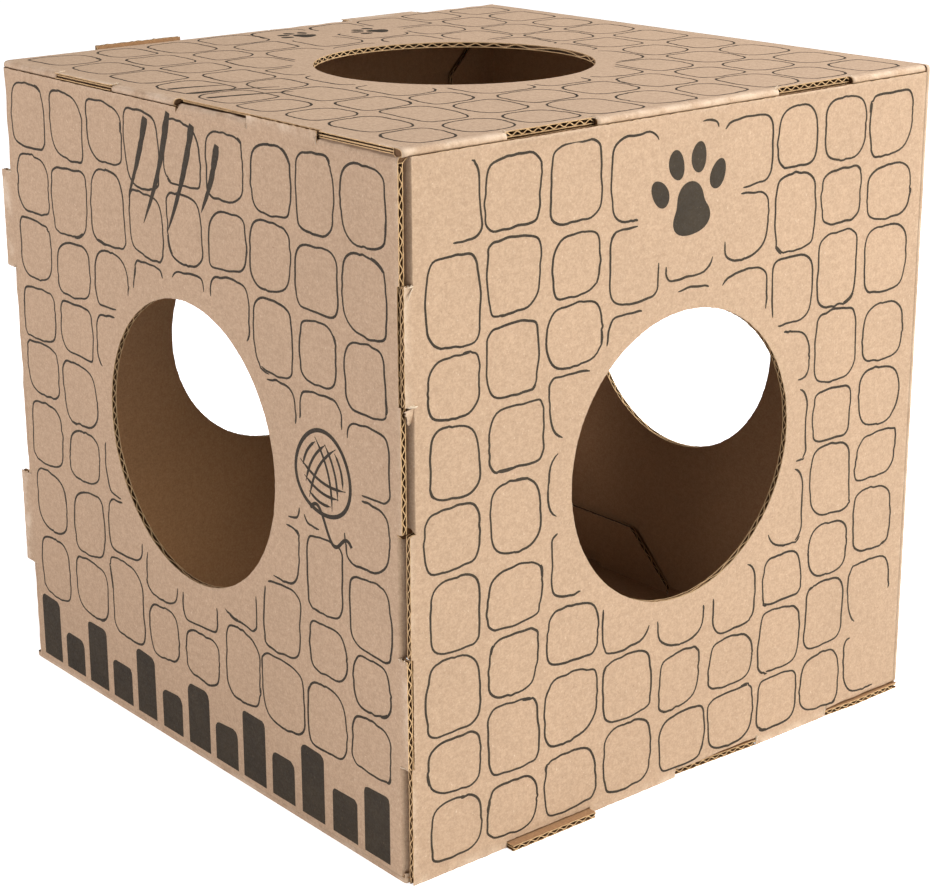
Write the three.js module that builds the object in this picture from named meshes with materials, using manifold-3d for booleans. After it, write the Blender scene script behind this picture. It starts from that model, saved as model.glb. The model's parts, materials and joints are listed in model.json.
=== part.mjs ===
// Cardboard cat house: a cube folded from two identical three-panel corner blanks of corrugated board.
// Every panel has a round hole. Along each cube edge that isn't a plain fold, one panel carries a flap that is
// folded in behind its neighbour, and the teeth cut out of the flap stay in the panel's own plane.
// Millimetres. X runs right, Y runs back, Z runs up. The origin is the middle of the base, on the ground.

import * as THREE from "three";
import { mergeVertices } from "three/addons/utils/BufferGeometryUtils.js";
import Module from "manifold-3d";

const wasm = await Module();
wasm.setup();

// Sizes of the whole house
const houseSize = 380;
const board = 3.2;
const holeRadius = 81;

// Folds, creases and cut edges
const foldRadius = 4;
const slip = 0.4;
const rawSetback = 4;
const cutGap = 0.3;
const swingRoom = 0.4;

// Flaps
const flapWidth = 38;
const flapShoulder = 4;
const cornerInset = 10;
const middleInset = 1;

// Teeth
const toothLength = 59;
const toothCentreShares = [0.25, 0.75];
const notchRoom = 0.5;

// How far a tooth's tip stands out past the neighbour's outer face, below zero where it stays short of it
const flushTip = 0;
const proudTip = 5;
const liftedTip = 2;
const shyTip = -1;
const sunkTip = -3.5;

// Steps of the round shapes
const holeSteps = 64;
const creaseSteps = 5;

// How far a cutter runs past the faces that it cuts
const overrun = 2;

// Worked out from the sizes above
const half = houseSize / 2;
const creaseSetback = board + slip;
const hingeSetback = creaseSetback + board;
const foldAxisDepth = foldRadius * (1 - Math.SQRT1_2);
const flapLean = leanThatClears();

// A panel that swings open drags its far flap along the neighbour's inner face. The flap leans in by just enough
// for its free edge to stay clear on that arc.
function leanThatClears() {
  const arcRadius = houseSize - foldAxisDepth - board - swingRoom;
  const tipDepth = board + flapWidth - foldAxisDepth;
  const tipReach = Math.sqrt(arcRadius ** 2 - tipDepth ** 2);
  const rootReach = houseSize - foldAxisDepth - creaseSetback;
  return Math.atan((rootReach - tipReach) / flapWidth);
}

// What the side of a panel can be. The flap's shares say which stretch of the side is creased.
const plainFold = { isFold: true };
const rawEdge = { isFold: false, flapShares: [0, 0] };
const flapThenRaw = { isFold: false, flapShares: [0, 0.5] };
const rawThenFlap = { isFold: false, flapShares: [0.5, 1] };
const fullFlap = { isFold: false, flapShares: [0, 1] };

// The three panels of a blank, their sides listed clockwise as seen from outside
const endWithFullFlap = [rawThenFlap, plainFold, fullFlap, rawThenFlap];
const middlePanel = [flapThenRaw, rawThenFlap, plainFold, plainFold];
const endWithRawEdge = [rawEdge, plainFold, flapThenRaw, rawThenFlap];

const right = new THREE.Vector3(1, 0, 0);
const back = new THREE.Vector3(0, 1, 0);
const up = new THREE.Vector3(0, 0, 1);
const left = right.clone().negate();
const front = back.clone().negate();

// Each panel as seen from outside: the way its width and height run, on which side its list of sides starts
// (0 top, 1 right), and its flaps in the order of that list
const panels = [
  {
    name: "roof",
    across: right,
    upward: back,
    sides: endWithFullFlap,
    firstSide: 0,
    colour: 0xb98f68,
    flaps: [
      { name: "roof_back_flap", tip: proudTip },
      { name: "roof_front_flap", tip: sunkTip },
      { name: "roof_left_flap", tip: flushTip },
    ],
  },
  {
    name: "right_wall",
    across: back,
    upward: up,
    sides: middlePanel,
    firstSide: 1,
    colour: 0xb0875c,
    flaps: [
      { name: "right_wall_back_flap", tip: flushTip },
      { name: "right_wall_floor_flap", tip: flushTip },
    ],
  },
  {
    name: "front_wall",
    across: right,
    upward: up,
    sides: endWithRawEdge,
    firstSide: 0,
    colour: 0xb88d5e,
    flaps: [
      { name: "front_wall_floor_flap", tip: flushTip },
      { name: "front_wall_left_flap", tip: shyTip },
    ],
  },
  {
    name: "left_wall",
    across: front,
    upward: up,
    sides: endWithFullFlap,
    firstSide: 1,
    colour: 0xb58c68,
    flaps: [
      { name: "left_wall_front_flap", tip: flushTip },
      { name: "left_wall_back_flap", tip: proudTip },
      { name: "left_wall_roof_flap", tip: flushTip },
    ],
  },
  {
    name: "floor",
    across: right,
    upward: front,
    sides: middlePanel,
    firstSide: 0,
    colour: 0xa87f56,
    flaps: [
      { name: "floor_front_flap", tip: proudTip },
      { name: "floor_right_flap", tip: flushTip },
    ],
  },
  {
    name: "back_wall",
    across: left,
    upward: up,
    sides: endWithRawEdge,
    firstSide: 1,
    colour: 0xad8459,
    flaps: [
      { name: "back_wall_right_flap", tip: flushTip },
      { name: "back_wall_roof_flap", tip: liftedTip },
    ],
  },
];

// A closed geometry as a solid that can be cut
function toSolid(geometry) {
  const bare = geometry.clone();
  bare.deleteAttribute("normal");
  bare.deleteAttribute("uv");
  const merged = mergeVertices(bare);
  return new wasm.Manifold(
    new wasm.Mesh({
      numProp: 3,
      vertProperties: new Float32Array(merged.attributes.position.array),
      triVerts: new Uint32Array(merged.index.array),
    })
  );
}

// A solid as a geometry again
function toGeometry(solid) {
  const mesh = solid.getMesh();
  const geometry = new THREE.BufferGeometry();
  geometry.setAttribute("position", new THREE.BufferAttribute(new Float32Array(mesh.vertProperties), 3));
  geometry.setIndex(new THREE.BufferAttribute(new Uint32Array(mesh.triVerts), 1));
  geometry.computeVertexNormals();
  return geometry;
}

function extrude(points, depth) {
  const shape = new THREE.Shape(points.map(([x, y]) => new THREE.Vector2(x, y)));
  return new THREE.ExtrudeGeometry(shape, { depth, bevelEnabled: false });
}

// Place along a side for a share of its length
function place(share) {
  return share * houseSize - half;
}

// The panel's frame turned in steps of a quarter so that another of its sides takes the place of the top one
function sideFrame(side) {
  const outward = [back, right, front, left][side];
  return new THREE.Matrix4().makeBasis(outward.clone().cross(up), outward, up);
}

// Start and end of each tooth on a side's creased stretch
function teethOf(edge) {
  const [from, to] = edge.flapShares;
  return toothCentreShares
    .filter((share) => share > from && share < to)
    .map((share) => [place(share) - toothLength / 2, place(share) + toothLength / 2]);
}

// Outline of a panel along one side, left to right as seen with that side on top
function sideOutline({ edge, flap }) {
  if (edge.isFold) {
    return [
      [-half, half],
      [half, half],
    ];
  }
  const [from, to] = edge.flapShares.map(place);
  const raw = half - rawSetback;
  const creased = half - creaseSetback;
  const points = [];
  if (from > -half) {
    points.push([-half, raw], [from, raw]);
  }
  if (to > from) {
    const tip = half + flap.tip;
    points.push([from, creased]);
    teethOf(edge).forEach(([start, end]) => {
      points.push([start, creased], [start, tip], [end, tip], [end, creased]);
    });
    points.push([to, creased]);
  }
  if (to < half) {
    points.push([to, raw], [half, raw]);
  }
  return points;
}

// Outline of a whole panel. At a corner, each side's line stops at the line of the next one.
function panelOutline(sides) {
  const lines = sides.map(sideOutline);
  return lines.flatMap((line, i) => {
    const before = lines[(i + 3) % 4].at(-1);
    const after = lines[(i + 1) % 4][0];
    const points = line.map((point) => [...point]);
    points[0][0] = -before[1];
    points.at(-1)[0] = after[1];
    const turned = points.map(([x, y]) => new THREE.Vector3(x, y, 0).applyMatrix4(sideFrame(i)));
    return turned.slice(0, -1).map((point) => [point.x, point.y]);
  });
}

// Section that rounds the outside of a crease: what a quarter circle about its inner corner leaves over
function creaseCutter() {
  const hingeLine = half - hingeSetback;
  const beyond = half - creaseSetback + overrun;
  const points = [
    [hingeLine, overrun],
    [beyond, overrun],
    [beyond, -board],
  ];
  for (let i = 0; i <= creaseSteps; i++) {
    const angle = ((i / creaseSteps) * Math.PI) / 2;
    points.push([hingeLine + board * Math.cos(angle), -board + board * Math.sin(angle)]);
  }
  return points;
}

// Section that mitres a plain fold and rounds its outside
function foldCutter() {
  const roundMiddle = half - foldRadius;
  const mitreShift = cutGap * Math.SQRT1_2;
  const roundEnd = Math.acos((mitreShift / foldRadius) * Math.SQRT1_2) - Math.PI / 4;
  const points = [
    [half - board - mitreShift - overrun, -board - overrun],
    [half + overrun, -board - overrun],
    [half + overrun, overrun],
    [roundMiddle, overrun],
  ];
  for (let i = 0; i <= creaseSteps; i++) {
    const angle = (i / creaseSteps) * roundEnd;
    points.push([roundMiddle + foldRadius * Math.sin(angle), foldRadius * Math.cos(angle) - foldRadius]);
  }
  return points;
}

// A section drawn out along one side of the panel, between two places on it
function sidePrism(section, from, to, side) {
  const geometry = extrude(section, to - from);
  geometry.applyMatrix4(new THREE.Matrix4().makeBasis(back, up, right));
  geometry.translate(from, 0, 0);
  geometry.applyMatrix4(sideFrame(side));
  return toSolid(geometry);
}

// The stretches of a crease between its teeth. A stretch that meets a corner runs out past it.
function betweenTeeth(edge) {
  const [from, to] = edge.flapShares.map(place);
  const marks = [
    from > -half ? from : from - overrun,
    ...teethOf(edge).flat(),
    to < half ? to : to + overrun,
  ];
  const stretches = [];
  for (let i = 0; i < marks.length; i += 2) {
    stretches.push([marks[i], marks[i + 1]]);
  }
  return stretches;
}

// What is punched out of a panel for its round hole
function holePunch() {
  const punch = new THREE.CylinderGeometry(holeRadius, holeRadius, 2 * (board + overrun), holeSteps);
  return toSolid(punch.rotateX(Math.PI / 2));
}

// A panel with its outer face at Z zero and up
function panelGeometry(sides) {
  const slab = extrude(panelOutline(sides), board);
  slab.translate(0, 0, -board);
  let solid = toSolid(slab).subtract(holePunch());
  sides.forEach(({ edge, flap }, i) => {
    if (edge.isFold) {
      solid = solid.subtract(sidePrism(foldCutter(), -half - overrun, half + overrun, i));
    }
    if (flap) {
      betweenTeeth(edge).forEach(([from, to]) => {
        solid = solid.subtract(sidePrism(creaseCutter(), from, to, i));
      });
    }
  });
  return toGeometry(solid);
}

// A flap laid out flat, as on the unfolded blank: its hinge line along X, its free edge at the top and its inner
// face at Z zero. Its root is notched where a tooth was cut from it.
function flapGeometry(edge, tip) {
  const [from, to] = edge.flapShares.map(place);
  const start = from + (from > -half ? middleInset : cornerInset);
  const end = to - (to < half ? middleInset : cornerInset);
  const taper = flapWidth - flapShoulder;
  const notch = hingeSetback + tip + notchRoom;
  const points = [[start, cutGap]];
  teethOf(edge).forEach(([toothStart, toothEnd]) => {
    points.push([toothStart - notchRoom, cutGap], [toothStart - notchRoom, notch]);
    points.push([toothEnd + notchRoom, notch], [toothEnd + notchRoom, cutGap]);
  });
  points.push([end, cutGap], [end, flapShoulder], [end - taper, flapWidth]);
  points.push([start + taper, flapWidth], [start, flapShoulder]);
  return extrude(points, board);
}

function namedMesh(name, geometry, colour) {
  const mesh = new THREE.Mesh(
    geometry,
    new THREE.MeshStandardMaterial({ color: colour, roughness: 0.9, metalness: 0 })
  );
  mesh.name = name;
  return mesh;
}

// A flap on its hinge line, folded in through a right angle and its lean
function foldedFlap(edge, flap, side, colour) {
  const mesh = namedMesh(flap.name, flapGeometry(edge, flap.tip), colour);
  mesh.position.set(0, half - hingeSetback, -board);
  mesh.rotation.x = -Math.PI / 2 - flapLean;
  const turned = new THREE.Group();
  turned.quaternion.setFromRotationMatrix(sideFrame(side));
  turned.add(mesh);
  return turned;
}

// The panel's four sides from the top one on, each with the flap that hangs on it, if any
function sidesOf(panel) {
  const flaps = [...panel.flaps];
  const listed = panel.sides.map((edge) => {
    const creased = !edge.isFold && edge.flapShares[1] > edge.flapShares[0];
    return { edge, flap: creased ? flaps.shift() : null };
  });
  return listed.map((_, i) => listed[(i - panel.firstSide + 4) % 4]);
}

// A panel and its flaps, carried to their side of the house
function panelGroup(panel) {
  const sides = sidesOf(panel);
  const outward = panel.across.clone().cross(panel.upward);
  const group = new THREE.Group();
  group.add(namedMesh(panel.name, panelGeometry(sides), panel.colour));
  sides.forEach(({ edge, flap }, i) => {
    if (flap) {
      group.add(foldedFlap(edge, flap, i, panel.colour));
    }
  });
  group.quaternion.setFromRotationMatrix(new THREE.Matrix4().makeBasis(panel.across, panel.upward, outward));
  group.position.copy(outward).multiplyScalar(half).addScaledVector(up, half);
  return group;
}

const house = new THREE.Group();
panels.forEach((panel) => house.add(panelGroup(panel)));

export default house;
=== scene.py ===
# %% [markdown]
# # A cardboard cat house
#
# The real thing is a cube of corrugated board with a round hole in each face. Two die-cut blanks close it.
# Each has three panels, flaps that fold in behind a neighbour, and teeth cut from those flaps. The packed
# CAD model gives every panel and flap its place. This script dresses them: paper liners, the fluted core
# that shows at every cut edge, rounded creases, a printed pattern, and the small tears that handling
# leaves.

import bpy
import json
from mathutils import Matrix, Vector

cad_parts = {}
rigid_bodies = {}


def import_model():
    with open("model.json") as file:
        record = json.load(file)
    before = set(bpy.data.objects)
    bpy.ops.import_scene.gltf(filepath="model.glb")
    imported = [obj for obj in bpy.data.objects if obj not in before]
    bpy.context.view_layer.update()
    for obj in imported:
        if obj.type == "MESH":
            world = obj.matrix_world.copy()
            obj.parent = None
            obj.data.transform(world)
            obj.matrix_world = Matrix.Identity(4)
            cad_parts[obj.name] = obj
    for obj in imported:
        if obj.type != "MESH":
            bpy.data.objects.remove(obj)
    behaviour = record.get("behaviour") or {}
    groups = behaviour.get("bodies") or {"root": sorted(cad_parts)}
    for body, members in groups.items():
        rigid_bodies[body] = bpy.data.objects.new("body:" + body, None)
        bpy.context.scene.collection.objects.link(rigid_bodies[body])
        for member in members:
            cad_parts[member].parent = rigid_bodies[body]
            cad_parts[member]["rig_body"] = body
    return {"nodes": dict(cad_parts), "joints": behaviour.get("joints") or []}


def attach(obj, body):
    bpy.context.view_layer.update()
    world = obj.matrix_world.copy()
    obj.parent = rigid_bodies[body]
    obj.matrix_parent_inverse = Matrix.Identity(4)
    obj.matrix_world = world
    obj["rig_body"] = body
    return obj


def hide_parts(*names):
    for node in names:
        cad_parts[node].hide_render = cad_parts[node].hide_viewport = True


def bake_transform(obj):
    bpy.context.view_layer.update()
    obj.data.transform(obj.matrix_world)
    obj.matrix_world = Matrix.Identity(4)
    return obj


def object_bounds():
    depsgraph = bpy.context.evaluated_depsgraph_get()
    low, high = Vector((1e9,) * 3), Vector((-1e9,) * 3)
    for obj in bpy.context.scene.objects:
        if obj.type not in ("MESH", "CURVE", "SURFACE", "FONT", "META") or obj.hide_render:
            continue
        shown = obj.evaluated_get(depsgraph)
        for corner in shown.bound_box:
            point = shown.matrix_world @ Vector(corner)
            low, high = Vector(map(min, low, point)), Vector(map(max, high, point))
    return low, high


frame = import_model()
cad_low, cad_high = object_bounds()
print("CAD box", list(cad_low), list(cad_high))

# %% Tools and the board's sizes
import json
import math
import random

import bpy
import numpy as np
from mathutils import Matrix, Vector
from mathutils.geometry import tessellate_polygon

MM = 0.001
SIDE = 380 * MM
HALF = SIDE / 2
BOARD = 3.2 * MM
LINER = 0.5 * MM
CORE_PAPER = 0.58 * MM
FLUTE_PITCH = 6.8 * MM
HOLE_RADIUS = 81 * MM
FOLD_ROUND = 2 * MM
# From the middle of a panel: where raw edges lie and plain folds start, and where the creases of flaps lie.
EDGE_LINE = HALF - 4 * MM
CREASE_LINE = HALF - 6.8 * MM
HOUSE_MIDDLE = Vector((0, 0, HALF))
CLOSE = 0.01 * MM


def same(a, b):
    return abs(a - b) < CLOSE


# %% [markdown]
# ## Where each sheet lies
#
# A panel or flap is easiest to draw flat, as the die cutter sees it. So each one gets its own frame: u and
# v along the outer face, w out of it, zero on the outer face. A panel's frame comes from the side of the
# cube that it closes. A flap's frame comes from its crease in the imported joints, and its lean is read from
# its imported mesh. The crease itself is drawn in a third frame: the panel's, turned so that v goes out past
# the crease.

# %% Frames of the six panels
VIEWS = {
    "roof": ((1, 0, 0), (0, 1, 0)),
    "right_wall": ((0, 1, 0), (0, 0, 1)),
    "front_wall": ((1, 0, 0), (0, 0, 1)),
    "left_wall": ((0, -1, 0), (0, 0, 1)),
    "floor": ((1, 0, 0), (0, -1, 0)),
    "back_wall": ((-1, 0, 0), (0, 0, 1)),
}


def frame_of(origin, along, onward, outward):
    turn = Matrix((along, onward, outward)).transposed().to_4x4()
    return Matrix.Translation(origin) @ turn


def direction(place, axis):
    """Where the u, v or w axis of a frame points in the house."""
    return place.col[axis].to_3d()


sheets = {}
for name, (across, upward) in VIEWS.items():
    across, upward = Vector(across), Vector(upward)
    outward = across.cross(upward)
    place = frame_of(HOUSE_MIDDLE + outward * HALF, across, upward, outward)
    sheets[name] = {"place": place, "panel": name}
print(len(sheets), "panels")


# %% Frames of the flaps, from their creases
def facing(node, guess):
    """Mean normal of the node's faces that look about the same way as the guess."""
    total = Vector()
    for face in frame["nodes"][node].data.polygons:
        if face.normal.dot(guess) > 0.95:
            total += face.normal * face.area
    return total.normalized()


def crease_frames(joint, panel_place):
    """The flap's frame, with v zero on the hinge line, and the crease's frame."""
    hinge = Vector(joint["pos_m"])
    panel_out = direction(panel_place, 2)
    from_middle = hinge - panel_place.translation
    from_middle -= panel_out * from_middle.dot(panel_out)
    biggest = max(range(3), key=lambda i: abs(from_middle[i]))
    side = Vector()
    side[biggest] = math.copysign(1, from_middle[biggest])
    along = side.cross(panel_out)
    outward = facing(joint["child"], side)
    flap_place = frame_of(hinge + outward * BOARD, along, outward.cross(along), outward)
    return flap_place, frame_of(panel_place.translation, along, side, panel_out)


creases = {}
for joint in frame["joints"]:
    if joint["name"].endswith("_crease"):
        flap = joint["child"]
        panel = next(name for name in VIEWS if flap.startswith(name))
        flap_place, place = crease_frames(joint, sheets[panel]["place"])
        sheets[flap] = {"place": flap_place, "panel": panel}
        flap_out = place.inverted().to_3x3() @ direction(flap_place, 2)
        creases[flap] = {
            "panel": panel,
            "parent": joint["parent"],
            "place": place,
            "hinge_v": (place.inverted() @ Vector(joint["pos_m"])).y,
            "lean": math.atan2(flap_out.y, flap_out.z) - math.pi / 2,
        }
print(len(creases), "flaps on creases")

# %% The four plain folds, and the sides that they take up
FOLDS = {
    "roof_fold": ("right_wall", "roof"),
    "front_wall_fold": ("right_wall", "front_wall"),
    "left_wall_fold": ("floor", "left_wall"),
    "back_wall_fold": ("floor", "back_wall"),
}


def outward_of(panel):
    return direction(sheets[panel]["place"], 2)


def folds_toward(panel, way):
    """Whether a panel has a plain fold on the side where a direction points."""
    neighbours = {other for pair in FOLDS.values() if panel in pair for other in pair if other != panel}
    return any(way.dot(outward_of(other)) > 0.9 for other in neighbours)


# %% Which way the flutes run in each sheet
FLUTES = {name: Vector((0, 1, 0)) for name in VIEWS}
FLUTES["front_wall"] = Vector((1, 0, 0))
FLUTES["back_wall"] = Vector((0, 0, 1))


def flutes_along_u(place, panel):
    return abs(direction(place, 0).dot(FLUTES[panel])) > 0.5


# Each sheet's paper is taken from a place of its own, a whole number of flutes away from the others.
SHEET_STEP = FLUTE_PITCH * 60
for index, sheet in enumerate(sheets.values()):
    sheet["offset"] = SHEET_STEP * index


# %% [markdown]
# ## The outlines
#
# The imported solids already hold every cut: holes, teeth, notches and set-back edges. Reading the outline
# from each solid's flat outer face keeps the dressed sheets exactly where the CAD says. An edge that only
# one triangle of the face uses is on the outline, and following those edges gives closed loops.

# %% Read a sheet's outline from its solid
def loops_on_face(name):
    to_sheet = sheets[name]["place"].inverted()
    mesh = frame["nodes"][name].data
    points = [to_sheet @ vertex.co for vertex in mesh.vertices]
    edges = set()
    for face in mesh.polygons:
        corners = [points[i] for i in face.vertices]
        if all(same(corner.z, 0) for corner in corners):
            keys = [(round(c.x / MM, 3), round(c.y / MM, 3)) for c in corners]
            edges.update(zip(keys, keys[1:] + keys[:1]))
    following = {a: b for a, b in edges if (b, a) not in edges}
    loops = []
    while following:
        first, point = following.popitem()
        loop = [first]
        while point != first:
            loop.append(point)
            point = following.pop(point)
        loops.append(np.array(loop) * MM)
    return sorted(loops, key=len)


def without_straight_points(loop):
    before, after = np.roll(loop, 1, 0) - loop, np.roll(loop, -1, 0) - loop
    turn = before[:, 0] * after[:, 1] - before[:, 1] * after[:, 0]
    return loop[np.abs(turn) > CLOSE ** 2]


# %% Punch the holes round, with the small waver of a die's rule
HOLE_STEPS = 240
HOLE_WAVER = 0.09 * MM


def punched_hole(seed):
    rng = np.random.default_rng(seed)
    angle = -np.arange(HOLE_STEPS) / HOLE_STEPS * 2 * math.pi
    radius = HOLE_RADIUS + rng.normal(0, HOLE_WAVER, HOLE_STEPS)
    return np.column_stack([radius * np.cos(angle), radius * np.sin(angle)])


# %% Start a flap deeper in the house where its crease was pressed in
SUNK_FLAPS = ("front_wall_left_flap", "left_wall_front_flap")
SUNK_DEPTH = 9.7 * MM


def beyond(loop, depth):
    """The part of a flap that lies past a depth from its hinge line."""
    kept = []
    for a, b in zip(loop, np.roll(loop, -1, 0)):
        if a[1] >= depth:
            kept.append(a)
        if (a[1] >= depth) != (b[1] >= depth):
            kept.append(a + (b - a) * (depth - a[1]) / (b[1] - a[1]))
    return np.array(kept)


# %% Roughen what a blade has cut
CUT_STEP = 1.7 * MM
CUT_WAVER = 0.11 * MM


def on_crease_or_fold(name, a, b):
    """Whether a stretch of outline is a crease line or a plain fold, which no blade cuts."""
    if name in creases:
        return max(a[1], b[1]) < SUNK_DEPTH - BOARD + CLOSE and same(a[1], b[1])
    for axis in (0, 1):
        if same(a[axis], b[axis]):
            side = direction(sheets[name]["place"], axis) * math.copysign(1, a[axis])
            if same(abs(a[axis]), CREASE_LINE) or same(abs(a[axis]), EDGE_LINE) and folds_toward(name, side):
                return True
    return False


def rough_cut(name, loop, rng):
    points = []
    for a, b in zip(loop, np.roll(loop, -1, 0)):
        points.append(a)
        length = math.dist(a, b)
        count = int(length / CUT_STEP)
        if count < 2 or on_crease_or_fold(name, a, b):
            continue
        normal = np.array([a[1] - b[1], b[0] - a[0]]) / length
        for i in range(1, count):
            share = (i + rng.uniform(-0.3, 0.3)) / count
            points.append(a + (b - a) * share + normal * rng.normal(0, CUT_WAVER))
    return np.array(points)


# %% [markdown]
# ## Edges that run out
#
# Handling has pushed some raw edges out over the crease of the panel beside them, by one to five
# millimetres. The solids stop at the nominal line, so a short table says how far each of these edges runs
# out. Beside the neighbour's tooth, and on the half that has a flap, an edge stays where it is.

# %% How far the raw edges run out
TOOTH = (65.2, 124.8)
# The axis across the edge, its side, its raw half, and the reach at places from the edge's middle, in mm.
EDGES_OUT = {
    "front_wall": [
        (1, -1, -1, [(0.4, 3.4), (TOOTH[0], 3.6), (TOOTH[1], 3.6), (186, 3.6)]),
        (0, -1, -1, [(0.4, 1.0), (TOOTH[0], 1.2), (TOOTH[1], 1.3), (186, 1.4)]),
    ],
    "left_wall": [(0, 1, 1, [(0.4, 1.2), (TOOTH[0], 1.4), (TOOTH[1], 1.4), (186, 1.8)])],
    "floor": [
        (1, 1, 1, [(0.4, 0.6), (TOOTH[0], 3.8), (TOOTH[1], 3.6), (150, 5.2), (186, 4.6)]),
        (0, 1, 1, [(0.4, 2.0), (TOOTH[0], 2.4), (TOOTH[1], 2.6), (186, 3.0)]),
    ],
    "roof": [(0, -1, -1, [(TOOTH[1], 2.4), (186, 2.6)])],
}


def reach_knots(half, reaches):
    """The whole line of reach along an edge. It jumps to nothing beside the tooth and at the flap."""
    knots = []
    for way, reach in reaches:
        nothing = (way + (0.01 if way == TOOTH[0] else -0.01), 0)
        knots += [(way, reach), nothing] if way <= TOOTH[1] else [(way, reach)]
    return sorted((half * way * MM, reach * MM) for way, reach in knots)


edges_out = {
    name: [(axis, side, reach_knots(half, reaches)) for axis, side, half, reaches in rows]
    for name, rows in EDGES_OUT.items()
}


# %% Push an outline out
def reach_of_edge(name, point):
    total = np.zeros(2)
    for axis, side, knots in edges_out.get(name, []):
        if same(point[axis], side * EDGE_LINE):
            total[axis] = side * np.interp(point[1 - axis], *zip(*knots))
    return total


def pushed_out(name, loop):
    """Gives the outline a point at each knot of its edges, then moves every point out."""
    grown = []
    for a, b in zip(loop, np.roll(loop, -1, 0)):
        stops = [0.0]
        for axis, side, knots in edges_out.get(name, []):
            if same(a[axis], side * EDGE_LINE) and same(b[axis], side * EDGE_LINE):
                shares = [(way - a[1 - axis]) / (b[1 - axis] - a[1 - axis]) for way, _ in knots]
                stops += sorted(share for share in shares if 1e-6 < share < 1 - 1e-6)
        grown += [a + (b - a) * share for share in stops]
    return np.array([point + reach_of_edge(name, point) for point in grown])


# %% The outlines of all sheets: clean ones for the core, rough cuts for the liners
for index, (name, sheet) in enumerate(sheets.items()):
    rng = np.random.default_rng(100 + index)
    sheet["loops"], sheet["cuts"] = [], []
    for loop in loops_on_face(name):
        if name in VIEWS and np.hypot(*loop.T).max() < HOLE_RADIUS + MM:
            loop = cut = punched_hole(index)
        else:
            if name in creases:
                loop[np.abs(loop[:, 1]) < 0.5 * MM, 1] = 0
            if name in SUNK_FLAPS:
                loop = beyond(loop, SUNK_DEPTH - BOARD)
            loop = pushed_out(name, without_straight_points(loop))
            cut = rough_cut(name, loop, rng)
        sheet["loops"].append(loop)
        sheet["cuts"].append(cut)
print({name: [len(loop) for loop in sheet["loops"]] for name, sheet in sheets.items()})


# %% [markdown]
# ## Meshes on a sheet
#
# Every piece of a sheet is drawn in u, v, w and then carried to its place. Its UV map holds the same flat
# coordinates, turned so that the first one always counts across the flutes. The paper's washboard lines and
# fibres then follow each sheet, and stay with it when a panel swings open.

# %% Make an object from flat coordinates
def carried(place, points):
    matrix = np.array(place)
    return np.asarray(points, float) @ matrix[:3, :3].T + matrix[:3, 3]


def paper_uvs(sheet, flat, along_u):
    """Flat coordinates with the one across the flutes first, on the sheet's own place of the paper."""
    return (flat[:, ::-1] if along_u else flat) + [sheet["offset"], 0.3 * sheet["offset"]]


def make_object(name, points, faces, materials, slots=None, uvs=None):
    mesh = bpy.data.meshes.new(name)
    mesh.from_pydata([tuple(p) for p in points], [], faces)
    for material in materials:
        mesh.materials.append(material)
    if slots is not None:
        mesh.polygons.foreach_set("material_index", slots)
    if uvs is not None:
        layer = mesh.uv_layers.new(name="sheet")
        corner_points = np.empty(len(mesh.loops), np.int32)
        mesh.loops.foreach_get("vertex_index", corner_points)
        layer.data.foreach_set("uv", np.asarray(uvs, np.float32)[corner_points].ravel())
    mesh.update()
    piece = bpy.data.objects.new(name, mesh)
    bpy.context.scene.collection.objects.link(piece)
    return piece


def sheet_object(name, sheet_name, points, faces, materials, slots=None):
    sheet = sheets[sheet_name]
    points = np.asarray(points, float)
    uvs = paper_uvs(sheet, points[:, :2], flutes_along_u(sheet["place"], sheet["panel"]))
    return make_object(name, carried(sheet["place"], points), faces, materials, slots, uvs)


def settle(piece, node):
    """Lets a piece move with the body of a CAD node, as part of the board."""
    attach(piece, frame["nodes"][node]["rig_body"])


# %% A thin slab of paper between two depths
def slab(loops, top, bottom):
    """Points and faces of a slab with those outlines. The faces come as flat ones, then rims."""
    triangles = tessellate_polygon([[Vector((x, y, 0)) for x, y in loop] for loop in loops])
    outline = np.vstack(loops)
    count = len(outline)
    points = np.vstack([np.column_stack([outline, np.full(count, w)]) for w in (top, bottom)])

    def rising(tri):
        a, b, c = (outline[i] for i in tri)
        return (b[0] - a[0]) * (c[1] - a[1]) - (b[1] - a[1]) * (c[0] - a[0]) > 0

    turned = [tuple(t) if rising(t) else tuple(reversed(t)) for t in triangles]
    faces = turned + [tuple(i + count for i in reversed(t)) for t in turned]
    flat_count = len(faces)
    start = 0
    for loop in loops:
        size = len(loop)
        for i in range(size):
            a, b = start + i, start + (i + 1) % size
            faces.append((a, a + count, b + count, b))
        start += size
    return points, faces, flat_count


# %% [markdown]
# ## Paper that looks like paper
#
# Kraft liner is brown paper made of long fibres: cloudy at arm's length, flecked close up. Glued over
# flutes, it shows faint washboard lines, with painted shade in their valleys, and it rubs pale where it bends
# round an edge; that paleness also stands in for a painted highlight. Each of these effects is a node group,
# built once, so that the outside, the inside, the creases and the ink can share it with their own strengths.

# %% Helpers for shader nodes
def fill(tree, node, inputs):
    """Links the inputs that come from another node, and writes down the others."""
    for key, value in inputs.items():
        if isinstance(value, bpy.types.NodeSocket):
            tree.links.new(value, node.inputs[key])
        else:
            node.inputs[key].default_value = value
    return node.outputs


def add(tree, kind, inputs, **settings):
    node = tree.nodes.new(kind)
    for key, value in settings.items():
        setattr(node, key, value)
    return fill(tree, node, inputs)


def math_node(tree, operation, *values, clamp=False):
    return add(tree, "ShaderNodeMath", dict(enumerate(values)), operation=operation, use_clamp=clamp)[0]


def vector_math(tree, operation, inputs):
    return add(tree, "ShaderNodeVectorMath", inputs, operation=operation)[0]


def ramp(tree, value, start, end, low=0.0, high=1.0):
    """Smooth step of a value between start and end."""
    inputs = {"Value": value, "From Min": start, "From Max": end, "To Min": low, "To Max": high}
    return add(tree, "ShaderNodeMapRange", inputs, interpolation_type="SMOOTHSTEP")["Result"]


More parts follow.
